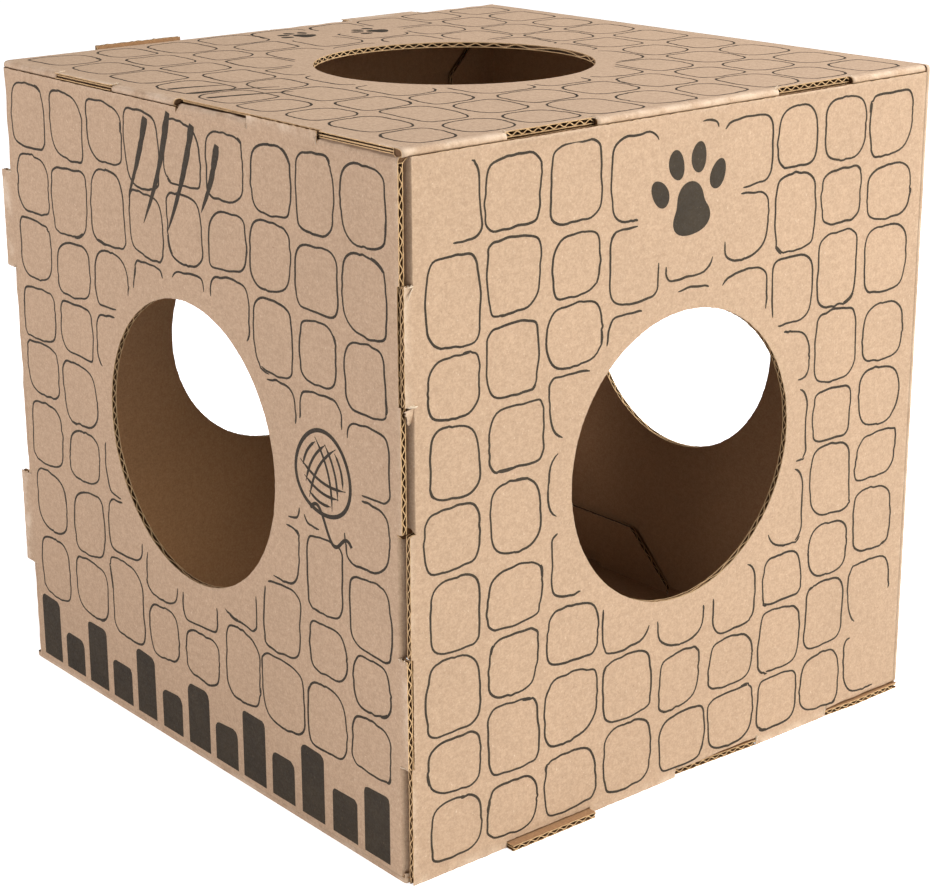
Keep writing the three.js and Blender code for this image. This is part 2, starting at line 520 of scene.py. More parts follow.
def noise(tree, place, scale, detail=2.0, roughness=0.5):
    inputs = {"Vector": place, "Scale": scale, "Detail": detail, "Roughness": roughness}
    return add(tree, "ShaderNodeTexNoise", inputs)["Fac"]


def streaks(tree, place, stretch, angle, detail, roughness=0.5):
    """Noise with its own scale each way, turned by an angle."""
    inputs = {"Vector": place, "Scale": (*stretch, 1), "Rotation": (0, 0, angle)}
    return noise(tree, add(tree, "ShaderNodeMapping", inputs)["Vector"], 1, detail, roughness)


def mixed(tree, share, first, second):
    """A share of the first value, and the rest of the second."""
    return math_node(tree, "MULTIPLY_ADD", first, share, math_node(tree, "MULTIPLY", second, 1 - share))


def blend_colour(tree, share, first, second):
    return add(tree, "ShaderNodeMix", {0: share, 6: first, 7: second}, data_type="RGBA")[2]


def new_group(name, inputs, outputs):
    """A node group. An input without a default is a vector, the others and all outputs are numbers."""
    tree = bpy.data.node_groups.new(name, "ShaderNodeTree")
    for label, default in inputs.items():
        kind = "NodeSocketVector" if default is None else "NodeSocketFloat"
        socket = tree.interface.new_socket(label, in_out="INPUT", socket_type=kind)
        if default is not None:
            socket.default_value = default
    for label in outputs:
        tree.interface.new_socket(label, in_out="OUTPUT", socket_type="NodeSocketFloat")
    return tree, tree.nodes.new("NodeGroupInput").outputs, tree.nodes.new("NodeGroupOutput")


# %% Node group: the paper's fibres
group, given, end = new_group(
    "paper_fibres",
    {"Place": None, "Fibre size": 1.0},
    ["Cloud", "Grain", "Dark fleck", "Pale fleck", "Height"],
)
sized = vector_math(group, "SCALE", {0: given["Place"], 3: given["Fibre size"]})
cloud = mixed(group, 0.6, noise(group, sized, 17, 4, 0.6), noise(group, sized, 95, 3, 0.6))
fine = streaks(group, sized, (760, 620), 0, 3, 0.8)
coarse = streaks(group, sized, (300, 230), 0.25, 4, 0.75)
grain = mixed(group, 0.6, fine, coarse)
slivers = streaks(group, sized, (900, 330), 0.5, 2, 0.6)
crossing = streaks(group, sized, (360, 1000), -0.35, 2, 0.6)
pale = streaks(group, sized, (420, 800), 0.9, 3, 0.7)
fill(group, end, {
    "Cloud": ramp(group, cloud, 0.3, 0.7),
    "Grain": ramp(group, grain, 0.38, 0.62),
    "Dark fleck": ramp(group, math_node(group, "MAXIMUM", slivers, crossing), 0.66, 0.76),
    "Pale fleck": ramp(group, pale, 0.6, 0.72),
    "Height": math_node(group, "MULTIPLY_ADD", slivers, 0.5, grain),
})

# %% Node group: washboard lines of the flutes under the liner
group, given, end = new_group("flute_lines", {"Place": None, "Pitch": FLUTE_PITCH}, ["Height", "Valley"])
parts = add(group, "ShaderNodeSeparateXYZ", {0: given["Place"]})
turns = math_node(group, "MULTIPLY", math_node(group, "DIVIDE", parts["X"], given["Pitch"]), 2 * math.pi)
wave = math_node(group, "MULTIPLY_ADD", math_node(group, "COSINE", turns), 0.5, 0.5)
uneven = ramp(group, streaks(group, given["Place"], (22, 5), 0, 2), 0.3, 0.7, 0.45, 1.0)
lines = math_node(group, "MULTIPLY", wave, uneven)
fill(group, end, {"Height": lines, "Valley": math_node(group, "SUBTRACT", 1.0, lines)})

# %% Node group: rubbing along the cube's edges, which also paints a highlight there
# Its mask makes the paper paler near the cube's edges: rubbing, and a painted highlight on the rounded folds
# and creases.
group, given, end = new_group("edge_rub", {"Place": None, "Half size": HALF, "Reach": 7 * MM}, ["Mask"])
centred = vector_math(group, "SUBTRACT", {0: given["Place"], 1: HOUSE_MIDDLE})
parts = add(group, "ShaderNodeSeparateXYZ", {0: vector_math(group, "ABSOLUTE", {0: centred})})


def of_three(operation):
    first_two = math_node(group, operation, parts["X"], parts["Y"])
    return math_node(group, operation, first_two, parts["Z"])


# On a face of the cube, the second largest distance from the middle says how near the edge is.
larger_two = math_node(group, "SUBTRACT", of_three("ADD"), of_three("MINIMUM"))
second = math_node(group, "SUBTRACT", larger_two, of_three("MAXIMUM"))
inset = math_node(group, "SUBTRACT", given["Half size"], second)
near = math_node(group, "SUBTRACT", 1.0, math_node(group, "DIVIDE", inset, given["Reach"]), clamp=True)
patchy = ramp(group, noise(group, given["Place"], 60, 4, 0.65), 0.35, 0.65)
fill(group, end, {"Mask": math_node(group, "MULTIPLY", math_node(group, "POWER", near, 1.6), patchy)})

# %% Node group: the slow waver of a big sheet of board
group, given, end = new_group("sheet_waver", {"Place": None}, ["Height"])
dents = ramp(group, noise(group, given["Place"], 42, 2, 0.5), 0.25, 0.5)
slow = noise(group, given["Place"], 9, 1.5, 0.4)
fill(group, end, {"Height": math_node(group, "MULTIPLY_ADD", dents, 0.06, slow)})
print("node groups", [made.name for made in bpy.data.node_groups])


# %% [markdown]
# ## One recipe for every paper
#
# Liners, cut edges and ink are all paper or lie on it, so one recipe serves them all. Clouds mix two base
# colours. Then each effect moves the colour a part of the way toward another one: flecks are single fibres,
# valleys of the washboard are slightly darker, as painted shade on the liners and as thinner print on the
# ink, and edges slightly paler, as rubbing and as a painted highlight. Bumps are stacked, the broadest first,
# and their heights are in millimetres.

# %% The recipe
def srgb(red, green, blue):
    """A colour given as the eye reads it, turned into scene light."""
    shares = [c / 255 for c in (red, green, blue)]
    return [c / 12.92 if c <= 0.04045 else ((c + 0.055) / 1.055) ** 2.4 for c in shares] + [1]


def deeper(colour, share):
    return [c * share for c in colour[:3]] + [1]


def paper_material(name, clouds, effects, roughness, specular, bumps, solid=False, fibre_size=1.0):
    """Cut papers are solid: their fibres run through the house's space, not along a sheet."""
    material = bpy.data.materials.new(name)
    material.use_nodes = True
    tree = material.node_tree
    flat = add(tree, "ShaderNodeUVMap", {}, uv_map="sheet")["UV"]
    place = add(tree, "ShaderNodeTexCoord", {})["Object"]
    settings = {
        "paper_fibres": {"Place": place if solid else flat, "Fibre size": fibre_size},
        "flute_lines": {"Place": flat},
        "edge_rub": {"Place": place},
        "sheet_waver": {"Place": place},
    }
    wanted = {row[0] for row in effects + bumps}
    groups = {
        group: add(tree, "ShaderNodeGroup", inputs, node_tree=bpy.data.node_groups[group])
        for group, inputs in settings.items() if group in wanted
    }
    fibres = groups["paper_fibres"]
    colour = blend_colour(tree, fibres["Cloud"], *clouds)
    for group, label, amount, target in effects:
        share = math_node(tree, "MULTIPLY", groups[group][label], amount, clamp=True)
        colour = blend_colour(tree, share, colour, target)
    below = {}
    for group, height, strength in bumps:
        inputs = {"Height": groups[group]["Height"], "Distance": height * MM, "Strength": strength, **below}
        below = {"Normal": add(tree, "ShaderNodeBump", inputs)["Normal"]}
    label, low, high = roughness
    fill(tree, tree.nodes["Principled BSDF"], {
        "Base Color": colour,
        "Roughness": ramp(tree, fibres[label], 0, 1, low, high),
        "Specular IOR Level": specular,
        **below,
    })
    return material


# %% [markdown]
# ## Kraft board, outside and inside
#
# The outside liner is a warm pale brown with a little pink. The inside is the same paper seen in shade,
# darker and browner. Only the outside is rubbed paler along the edges, as wear and as a painted highlight.

# %% The two liners
def liner_material(name, base, dark, pale, rub_and_highlight):
    effects = [
        ("paper_fibres", "Grain", 0.3, dark),
        ("paper_fibres", "Dark fleck", 0.4, dark),
        ("paper_fibres", "Pale fleck", 0.4, pale),
        # Darker in the washboard's valleys: painted shade.
        ("flute_lines", "Valley", 0.03, dark),
        # Paler near the cube's edges: rubbing, and a painted highlight.
        ("edge_rub", "Mask", rub_and_highlight, pale),
    ]
    bumps = [("sheet_waver", 1.1, 1.0), ("flute_lines", 0.03, 1.0), ("paper_fibres", 0.05, 0.8)]
    clouds = (base, deeper(base, 0.93))
    return paper_material(name, clouds, effects, ("Grain", 0.78, 0.92), specular=0.35, bumps=bumps)


kraft_outside = liner_material(
    "kraft_outside", srgb(187, 158, 129), srgb(108, 78, 54), srgb(226, 206, 182), rub_and_highlight=0.5
)
kraft_inside = liner_material(
    "kraft_inside", srgb(158, 119, 81), srgb(92, 62, 40), srgb(186, 152, 112), rub_and_highlight=0.0
)

# %% [markdown]
# ## Cut edges and the fluted core
#
# The core is a coarser, somewhat darker paper, and every cut shows it end-on. Its colour is darker still, as
# painted shade inside the flutes and between the liners. Cutting leaves both papers fuzzy and a little paler
# than their faces, and tearing bares the palest fibres. These finishes have fibres only, no washboard.


# %% Core paper with painted shade, cut edge and torn paper
def raw_paper(name, base, dark, pale, fibre_size):
    effects = [("paper_fibres", "Grain", 0.3, dark), ("paper_fibres", "Pale fleck", 0.5, pale)]
    clouds = (base, deeper(base, 0.85))
    bumps = [("paper_fibres", 0.12, 1.0)]
    return paper_material(name, clouds, effects, ("Cloud", 0.85, 0.97), 0.2, bumps, True, fibre_size)


# The core paper's colour holds painted shade for the flute channels, the liners' hidden faces and the pits at
# strip ends.
core_paper = raw_paper("core_paper", srgb(112, 82, 56), srgb(64, 44, 30), srgb(140, 108, 78), 1.3)
cut_edge = raw_paper("cut_edge", srgb(206, 170, 124), srgb(124, 88, 56), srgb(238, 214, 176), 1.6)
torn_paper = raw_paper("torn_paper", srgb(226, 208, 182), srgb(160, 128, 96), srgb(250, 242, 228), 1.6)

# %% [markdown]
# ## The ink
#
# One dark brown ink is printed straight on the kraft. The flutes under the liner make the print uneven: it
# takes well on the crests and thins over the valleys, and the fibres show through as small pale specks.

# %% Printed ink
INK, WORN_INK, KRAFT_THROUGH = srgb(40, 32, 22), srgb(58, 48, 34), srgb(120, 100, 76)
ink_effects = [
    ("flute_lines", "Valley", 0.25, WORN_INK),
    ("paper_fibres", "Pale fleck", 0.35, KRAFT_THROUGH),
    ("paper_fibres", "Grain", 0.2, WORN_INK),
]
ink_bumps = [("flute_lines", 0.05, 1.0), ("paper_fibres", 0.03, 1.0)]
printed_ink = paper_material(
    "printed_ink", (INK, WORN_INK), ink_effects, ("Grain", 0.6, 0.8), specular=0.25, bumps=ink_bumps
)
print("materials", [m.name for m in bpy.data.materials])


# %% [markdown]
# ## The fluted core
#
# Corrugated board gets its stiffness from a wavy paper glued between two flat ones. The wave is built column
# by column: each column runs along the flutes from one crossing of the outline to the next, so holes, teeth
# and notches cut it exactly where they cut the liners. A column also starts at every corner of the outline,
# which keeps the cuts square. Along a cut that follows the flutes the wave stops a little short, and the two
# liners stand open there.

# %% The wave, and the borders of its columns
COLUMNS_PER_FLUTE = 10
CORE_TOP = -LINER
CORE_BOTTOM = -BOARD + LINER
CORE_SETBACK = 1.3 * MM
CORE_RECESS = 0.06 * MM
LONG_CUT = 8 * MM
THINNEST_COLUMN = 0.03 * MM


def wave_height(s):
    """Middle of the core paper at a place across the flutes, and how much its slope thickens it."""
    swing = (CORE_TOP - CORE_BOTTOM - CORE_PAPER) / 2
    turn = 2 * math.pi / FLUTE_PITCH
    slope = -swing * turn * math.sin(turn * s)
    return (CORE_TOP + CORE_BOTTOM) / 2 + swing * math.cos(turn * s), math.hypot(1, slope)


def column_borders(loops):
    across = np.concatenate([loop[:, 0] for loop in loops])
    step = FLUTE_PITCH / COLUMNS_PER_FLUTE
    regular = np.arange(math.ceil(across.min() / step), math.floor(across.max() / step) + 1) * step
    borders = np.unique(np.round(np.concatenate([regular, across]) / MM, 2)) * MM
    return borders[np.concatenate([[True], np.diff(borders) > THINNEST_COLUMN])]


# %% Where the outline lets a column run
def beside_long_cut(loops, middle, along):
    """Whether a column lies right inside a long cut that runs along the flutes."""
    for loop in loops:
        ahead = np.roll(loop, -1, 0)
        straight = same(ahead[:, 0], loop[:, 0]) & (np.abs(ahead[:, 1] - loop[:, 1]) > LONG_CUT)
        beside = (loop[:, 1] - along) * (ahead[:, 1] - along) < 0
        if (straight & beside & (np.abs(loop[:, 0] - middle) < CORE_SETBACK)).any():
            return True
    return False


def crossings(loops, left, right):
    """Spans of the outline between two borders: start and end along the flutes, at each border."""
    middle = (left + right) / 2
    found = []
    for loop in loops:
        ahead = np.roll(loop, -1, 0)
        hits = (loop[:, 0] < middle) != (ahead[:, 0] < middle)
        for (s0, f0), (s1, f1) in zip(loop[hits], ahead[hits]):
            borders = (min(max(s, min(s0, s1)), max(s0, s1)) for s in (left, right))
            found.append([f0 + (s - s0) / (s1 - s0) * (f1 - f0) for s in borders])
    found.sort(key=sum)
    return zip(found[::2], found[1::2])


# %% Build one sheet's core
def core_mesh(loops):
    borders = column_borders(loops)
    points, faces, slots, rings, uses = [], [], [], {}, {}

    def ring(s, start, end):
        key = (round(s / MM, 2), round(start / MM, 1), round(end / MM, 1))
        if key not in rings:
            height, thicker = wave_height(s)
            rings[key] = len(points)
            for f in (start + CORE_RECESS, end - CORE_RECESS):
                for sign in (1, -1):
                    points.append((s, f, height + sign * thicker * CORE_PAPER / 2))
        uses[key] = uses.get(key, 0) + 1
        return rings[key]

    for left, right in zip(borders, borders[1:]):
        for (start_l, start_r), (end_l, end_r) in crossings(loops, left, right):
            too_short = min(end_l - start_l, end_r - start_r) < 4 * CORE_RECESS
            if too_short or beside_long_cut(loops, (left + right) / 2, (start_l + end_l) / 2):
                continue
            a, b = ring(left, start_l, end_l), ring(right, start_r, end_r)
            faces += [(a, b, b + 2, a + 2), (a + 1, a + 3, b + 3, b + 1)]
            faces += [(a, a + 1, b + 1, b), (a + 2, b + 2, b + 3, a + 3)]
            slots += [0, 0, 1, 1]
    for key, count in uses.items():
        if count == 1:
            a = rings[key]
            faces.append((a, a + 1, a + 3, a + 2))
            slots.append(1)
    return np.array(points), faces, slots


# %% [markdown]
# ## The panels and flaps
#
# Each sheet is three papers: outer liner, core and inner liner. The liners' rims carry the cut-edge finish.
# The three papers of a sheet are separate pieces that ride on one body, and they take the place of the CAD
# solid, which is hidden.

# %% Dress every panel and flap
# The liners' faces toward the core take the core paper, with its painted shade.
LINERS = (
    ("outer_liner", 0, -LINER, [kraft_outside, core_paper, cut_edge]),
    ("inner_liner", -BOARD + LINER, -BOARD, [core_paper, kraft_inside, cut_edge]),
)


def dress_sheet(name):
    sheet = sheets[name]
    pieces = []
    for part, top, bottom, finishes in LINERS:
        points, faces, flat_count = slab(sheet["cuts"], top, bottom)
        slots = np.repeat([0, 1, 2], [flat_count // 2, flat_count // 2, len(faces) - flat_count])
        pieces.append(sheet_object(f"{name}_{part}", name, points, faces, finishes, slots))
    swap = flutes_along_u(sheet["place"], sheet["panel"])
    points, faces, slots = core_mesh([loop[:, ::-1] if swap else loop for loop in sheet["loops"]])
    if swap:
        points = points[:, [1, 0, 2]]
        faces = [tuple(reversed(face)) for face in faces]
    pieces.append(sheet_object(f"{name}_core", name, points, faces, [core_paper, cut_edge], slots))
    for piece in pieces:
        settle(piece, name)
    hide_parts(name)
    return sum(len(piece.data.polygons) for piece in pieces)


face_counts = {name: dress_sheet(name) for name in sheets}
print("faces of the sheets:", face_counts)


# %% [markdown]
# ## Creases with a flap
#
# A crease is pressed into the board before folding. The outer liner then turns in a small radius about the
# inner corner, and the core is crushed flat inside the bend. Between the teeth it is one paper from panel
# to flap, so it is built as one rounded strip.

# %% Stretches of crease between the teeth
def outlines_in(place, panel):
    """A panel's outlines, seen in another frame."""
    to_place = place.inverted() @ sheets[panel]["place"]
    return [[to_place @ Vector((x, y, 0)) for x, y in loop] for loop in sheets[panel]["loops"]]


def crease_stretches(flap):
    """Where the panel's outline runs along the hinge line, in the crease's frame."""
    hinge_v = creases[flap]["hinge_v"]
    found = []
    for loop in outlines_in(creases[flap]["place"], creases[flap]["panel"]):
        for a, b in zip(loop, loop[1:] + loop[:1]):
            if same(a.y, hinge_v) and same(b.y, hinge_v) and (a - b).length > MM:
                found.append(sorted((a.x, b.x)))
    return sorted(found)


print({flap: [[round(x / MM) for x in s] for s in crease_stretches(flap)] for flap in creases})

# %% Where the rings of a strip stand
STRIP_STEP = 2.5 * MM


def past_the_start(extra):
    """How far the outside of a plain fold has dropped at a way past its start."""
    way = EDGE_LINE + extra - (HALF - FOLD_ROUND)
    return FOLD_ROUND - math.sqrt(FOLD_ROUND ** 2 - way ** 2) if way > 0 else 0.0


# A strip that ends at a corner runs on over it. Each pair is a way past the end and the strip's drop there.
RUN_ON = {
    "fold": [(way * MM, past_the_start(way * MM)) for way in (1.2, 2.4, 3.1, 3.6)],
    "crease": [(way * MM, drop * MM) for way, drop in ((1.2, 0.05), (2.3, 0.35), (3.0, 0.9), (3.4, 1.5))],
}


def stations(start, end, low_kind, high_kind):
    count = max(1, round((end - start) / STRIP_STEP))
    rows = [(start + (end - start) * i / count, 0.0) for i in range(count + 1)]
    rows = [(start - extra, drop) for extra, drop in reversed(RUN_ON.get(low_kind, []))] + rows
    return rows + [(end + extra, drop) for extra, drop in RUN_ON.get(high_kind, [])]


# %% The mesh of a strip: rings of one section, with their ends closed
SLANT_LIMIT = 2.8 * MM
END_LIP = 0.42 * MM
END_PIT = 0.5 * MM


def normals_along(line, closed=False):
    """The way to the left of a line, at each of its points."""
    ahead = np.roll(line, -1, 0) if closed else np.vstack([line[1:], line[-1:]])
    behind = np.roll(line, 1, 0) if closed else np.vstack([line[:1], line[:-1]])
    way = ahead - behind
    way /= np.maximum(np.hypot(*way.T), 1e-9)[:, None]
    return np.column_stack([-way[:, 1], way[:, 0]])


def strip_mesh(section, rim, span, kinds):
    """Points, faces, finishes and ways round the section, which is the outside of the bend up to its rim. An
    end in the middle of a side slants back, as a flap's shoulder does. Each end has a lip and a pit."""
    start, end = span
    size = len(section)
    normals = np.zeros_like(section)
    normals[:rim + 1] = normals_along(section[:rim + 1])
    walked = np.concatenate([[0], np.cumsum(np.hypot(*np.diff(section, axis=0).T))])
    walked[-1] = min(walked[-1], BOARD)
    slant = np.minimum(walked, SLANT_LIMIT)
    inward = section.mean(0) - section
    inward /= np.hypot(*inward.T)[:, None]
    rings, faces, finishes = [], [], []

    def ring(u, drop, shrink=0.0):
        share = (u - start) / (end - start)
        lean = (kinds[0] == "middle") * (1 - share) - (kinds[1] == "middle") * share
        rings.append(np.column_stack([u + slant * lean, section + inward * shrink - normals * drop]))
        return size * (len(rings) - 1)

    rows = stations(start, end, *kinds)
    firsts = [ring(u, drop) for u, drop in rows]
    pairs = [(j, (j + 1) % size) for j in range(size)]
    for a, b in zip(firsts, firsts[1:]):
        faces += [(a + j, a + k, b + k, b + j) for j, k in pairs]
        finishes += [int(j >= rim) for j in range(size)]
    for (u, drop), outer, turn in ((rows[0], firsts[0], 1), (rows[-1], firsts[-1], -1)):
        lip, pit = ring(u, drop, END_LIP), ring(u + turn * END_PIT, drop, END_LIP)
        for j, k in pairs:
            faces.append((outer + k, outer + j, lip + j, lip + k)[::turn])
            faces.append((lip + k, lip + j, pit + j, pit + k)[::turn])
            finishes += [2, 3]
        faces.append(tuple(range(pit, pit + size))[::-turn])
        finishes.append(3)
    return np.vstack(rings), faces, finishes, np.tile(walked, len(rings))


# %% A strip as an object, and a way to reshape it
# The last finish, the core paper, gives the pits at the strip ends painted shade.
BEND_FINISHES = [kraft_outside, kraft_inside, cut_edge, core_paper]


def strip_object(name, place, panel, section, rim, span, kinds=("cut", "cut"), paper_from=None):
    points, faces, finishes, walked = strip_mesh(np.array(section), rim, span, kinds)
    first = section[0][0] if paper_from is None else paper_from
    flat = np.column_stack([points[:, 0], first + walked])
    uvs = paper_uvs(sheets[panel], flat, flutes_along_u(place, panel))
    piece = make_object(name, carried(place, points), faces, BEND_FINISHES, finishes, uvs)
    piece.data.polygons.foreach_set("use_smooth", [finish == 0 for finish in finishes])
    return piece


def reshape(piece, place, change):
    """Moves each vertex of a piece to where change says, in the coordinates of a frame."""
    to_flat = place.inverted()
    for vertex in piece.data.vertices:
        vertex.co = place @ Vector(change(*(to_flat @ vertex.co)))


def limited(value):
    return max(0.0, min(1.0, value))


# %% How each crease has bent
# How far each stretch of a crease bulges out past a plain bend, in mm. A small bulge keeps the shape of a
# plain bend. Below zero the crease was pressed in, which leaves a dark groove, and the flap's flat part
# starts deeper.
BULGES = {
    "roof_front_flap": (3.1, 3.0, 2.9),
    "roof_left_flap": (2.9, 2.7),
    "roof_back_flap": (2.3, 1.9),
    "front_wall_left_flap": (-2.0, -2.0),
    "front_wall_floor_flap": (0.1, 0.1),
    "right_wall_floor_flap": (0.1, 0.1),
    "left_wall_front_flap": (-1.6, -1.6),
    "left_wall_roof_flap": (1.5, 0.1),
    "left_wall_back_flap": (1.2, 1.2, 0.8),
    "floor_front_flap": (0.1, 0.1),
}
USUAL_BULGES = (2.2, 1.8)
SMALL_BULGE = 1.1


def smooth_line(knots, steps):
    """A curve through the knots."""
    knots = [np.array(k) for k in knots]
    padded = [2 * knots[0] - knots[1], *knots, 2 * knots[-1] - knots[-2]]
    line = []
    for before, a, b, after in zip(padded, padded[1:], padded[2:], padded[3:]):
        for t in np.linspace(0, 1, steps, endpoint=False):
            bend = (2 * before - 5 * a + 4 * b - after) * t * t + (3 * a - before - 3 * b + after) * t ** 3
            line.append(0.5 * (2 * a + (b - before) * t + bend))
    return [*line, knots[-1]]


def crease_section(flap, bulge):
    """From the panel's outer face round to the flap's, then back by the inner corner. The rim comes along."""
    board = BOARD / MM
    out = board + bulge
    if bulge > SMALL_BULGE:
        depth = 5.2
        knots = [(0.42 * out, -0.03), (out - 1.2, -0.4), (out - 0.2, -1.5), (out, -2.8)]
        knots += [(out - 0.4, -3.7), (out - 1.5, -3.95)]
    elif bulge > 0:
        depth = 6.4
        knots = [(1.2, -0.14), (2.5, -0.8), (out - 0.45, -1.8), (out, -3.0), (out - 0.3, -4.4)]
    else:
        depth = SUNK_DEPTH / MM
        knots = [(0.5, -0.2), (out - 0.3, -1.2), (out, -2.6), (out + 0.3, -4.6), (out + 0.9, -7.0)]
    back = (depth - board) * math.tan(creases[flap]["lean"])
    outside = smooth_line([(0, 0), *knots, (board - back, -depth)], 3)
    inside = [(-back, -depth), (0, -board)] if bulge < 0 else [(0, -board)]
    section = [(creases[flap]["hinge_v"] + v * MM, w * MM) for v, w in outside + inside]
    return section, len(outside) - 1


def uneven(hinge_v, seed):
    """A change that presses small, smooth dents into a crease, none at its rims."""
    rng = random.Random(seed)
    waves = [(rng.uniform(60, 420), rng.uniform(0, 6.28), rng.uniform(0.04, 0.12) * MM) for _ in range(6)]

    def change(u, v, w):
        bend = limited((v - hinge_v) / (2 * MM)) * limited(1 + (w + 3 * MM) / (1.5 * MM))
        dent = sum(size * math.sin(rate * u + phase) for rate, phase, size in waves) * bend
        return u, v + dent, w + dent * 0.5

    return change


def end_kind(panel, place, u):
    """What a crease meets at its end: a straight cut, the middle of the side, or a plain fold."""
    if abs(u) < 1 * MM:
        return "middle"
    along = direction(place, 0) * math.copysign(1, u)
    return "fold" if same(abs(u), EDGE_LINE) and folds_toward(panel, along) else "cut"


# %% Rounded strips over the creases
# The depths below the hinge line where the bend of a crease starts and ends.
BEND_ZONE = (2.6 * MM, 5.6 * MM)
for index, (flap, info) in enumerate(creases.items()):
    place, hinge_v = info["place"], info["hinge_v"]
    for number, (span, bulge) in enumerate(zip(crease_stretches(flap), BULGES.get(flap, USUAL_BULGES)), 1):
        kinds = [end_kind(info["panel"], place, u) for u in span]
        section, rim = crease_section(flap, bulge)
        piece = strip_object(f"{flap}_crease_{number}", place, info["panel"], section, rim, span, kinds)
        reshape(piece, place, uneven(hinge_v, 10 * index + number))
        still, moving = (place @ Vector((0, hinge_v, -depth)) for depth in BEND_ZONE)
        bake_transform(piece)
    print(flap, "bends in", number, "strips")

# %% [markdown]
# ## Torn paper at the teeth
#
# Where a tooth stands up beside its flap, the die's cut ends in the crease, and the first folding tears the
# liner a little further. The paper shows paler and fuzzy there. Each tear is a few thin, tapered slivers
# that curl off the sheet, drawn as solid slips so that they stay visible from every side. At the cube's
# corners nothing is torn.

# %% One sliver of torn paper
def new_mesh():
    return {"points": [], "faces": []}


def add_bar(mesh, rings, closed=False):
    """Adds a bar through rings of four points. Its ends are filled, unless it closes on itself."""
    base, count = len(mesh["points"]), len(rings)
    mesh["points"] += [point for ring in rings for point in ring]
    for i in range(count if closed else count - 1):
        a, b = base + 4 * i, base + 4 * ((i + 1) % count)
        mesh["faces"] += [(a + j, a + (j + 1) % 4, b + (j + 1) % 4, b + j) for j in range(4)]
    if not closed:
        last = base + 4 * (count - 1)
        mesh["faces"] += [(base + 3, base + 2, base + 1, base), (last, last + 1, last + 2, last + 3)]


def sliver(mesh, root, way, curl, length, width, thick, rng, steps=6):
    """A tapered slip that starts at the root, goes along the way and curls toward the curl."""
    root, way, curl = Vector(root), Vector(way).normalized(), Vector(curl)
    across = way.cross(curl).normalized()
    lift = way.cross(across) * (thick / 2)
    rings = []
    for i in range(steps + 1):
        t = i / steps
        middle = root + way * (length * t) + curl * (length * t * t)
        half = across * (width / 2 * (1 - t) ** 0.6 * rng.uniform(0.7, 1.2) + 0.04 * MM)
        rings.append([middle + half + lift, middle + half - lift, middle - half - lift, middle - half + lift])
    add_bar(mesh, rings)


def slivers_object(name, flap, mesh, finish, uvs=None):
    """Slivers drawn in the frame of a flap's crease. They ride with the panel."""
    info = creases[flap]
    points = [info["place"] @ point for point in mesh["points"]]
    settle(make_object(name, points, mesh["faces"], [finish], uvs=uvs), info["panel"])


# %% Tears at both ends of every tooth
FIBRES = 5
FIBRE_THICKNESS = 0.14 * MM
LIP_THICKNESS = 0.3 * MM


def tear_ends(flap, rng):
    """Short fibres and one longer lip where the flap's crease stops beside a tooth."""
    mesh = new_mesh()
    hinge_v = creases[flap]["hinge_v"]
    for span in crease_stretches(flap):
        for u, toward in zip(span, (-1, 1)):
            if abs(u) < 1 * MM or abs(u) > CREASE_LINE - MM:
                continue
            for _ in range(FIBRES):
                back, past = rng.uniform(0, 0.8) * MM, rng.uniform(0.2, 5.2) * MM
                root = (u - toward * back, hinge_v + past, -0.3 * MM)
                way = (toward * rng.uniform(0.1, 1), rng.uniform(-0.2, 1), rng.uniform(0.05, 0.5))
                curl = (rng.uniform(-0.4, 0.4), rng.uniform(-0.2, 0.3), rng.uniform(-0.3, 0.4))
                width = rng.uniform(0.2, 0.5) * MM
                sliver(mesh, root, way, curl, rng.uniform(0.9, 2.6) * MM, width, FIBRE_THICKNESS, rng)
            root = (u + toward * 0.1 * MM, hinge_v + 0.3 * MM, 0.0)
            way = (toward * 0.12, 1, rng.uniform(-0.06, 0.1))
            curl = (toward * rng.uniform(0.02, 0.12), 0, rng.uniform(-0.12, 0.1))
            length, width = rng.uniform(2.5, 5.0) * MM, rng.uniform(0.5, 0.9) * MM
            sliver(mesh, root, way, curl, length, width, LIP_THICKNESS, rng, 8)
    return mesh


for index, flap in enumerate(creases):
    mesh = tear_ends(flap, random.Random(500 + index))
    slivers_object(f"{flap}_tears", flap, mesh, torn_paper)
    print(flap, "tears have", len(mesh["faces"]), "faces")

# %% The bent scraps of liner beside the front wall's tooth
# Each scrap: where its root lies along the crease, past the hinge line and out of the face, the way it goes,
# how it curls, its length and its width, all in mm.
SCRAPS = {
    "bright_scraps": (torn_paper, [
        ((65.0, -1.2, 0.3), (0, 1, -0.02), (0.1, 0, -0.1), 6.6, 1.5),
        ((123.4, 0.6, 0.1), (-0.5, 1, 0.1), (-0.6, 0, 0.3), 4.6, 2.0),
    ]),
    "tan_scrap": (kraft_outside, [((64.4, 2.9, 0.1), (-1, -0.1, -0.14), (0, 0.02, -0.12), 9.0, 7.6)]),
}
SCRAP_THICKNESS = 0.34 * MM
hinge_v = creases["front_wall_left_flap"]["hinge_v"]
rng = random.Random(7)
for title, (finish, scraps) in SCRAPS.items():
    mesh = new_mesh()
    for (u, past, w), way, curl, length, width in scraps:
        root = (u * MM, hinge_v + past * MM, w * MM)
        sliver(mesh, root, way, curl, length * MM, width * MM, SCRAP_THICKNESS, rng, 9)
    uvs = [(point[0], point[1]) for point in mesh["points"]]
    slivers_object(f"front_wall_{title}", "front_wall_left_flap", mesh, finish, uvs)
    print(title, "of", len(scraps), "slips")

# %% [markdown]
# ## Pushed rims
#
# The roof's two teeth press on the front wall's upper edge, and handling has pushed the outer liner out below
# each of them. A low strip on the face gives that swelling. It rises smoothly over the last millimetres below
# the edge, and fades along the edge toward both its ends, so that no outline of it shows.

# %% The front wall's rim below the roof's two teeth
RIM_HEIGHT = 1.1 * MM
RIM_TAPER = 16 * MM
RIM_SPAN = (61 * MM, 128 * MM)
SINK = 0.05 * MM
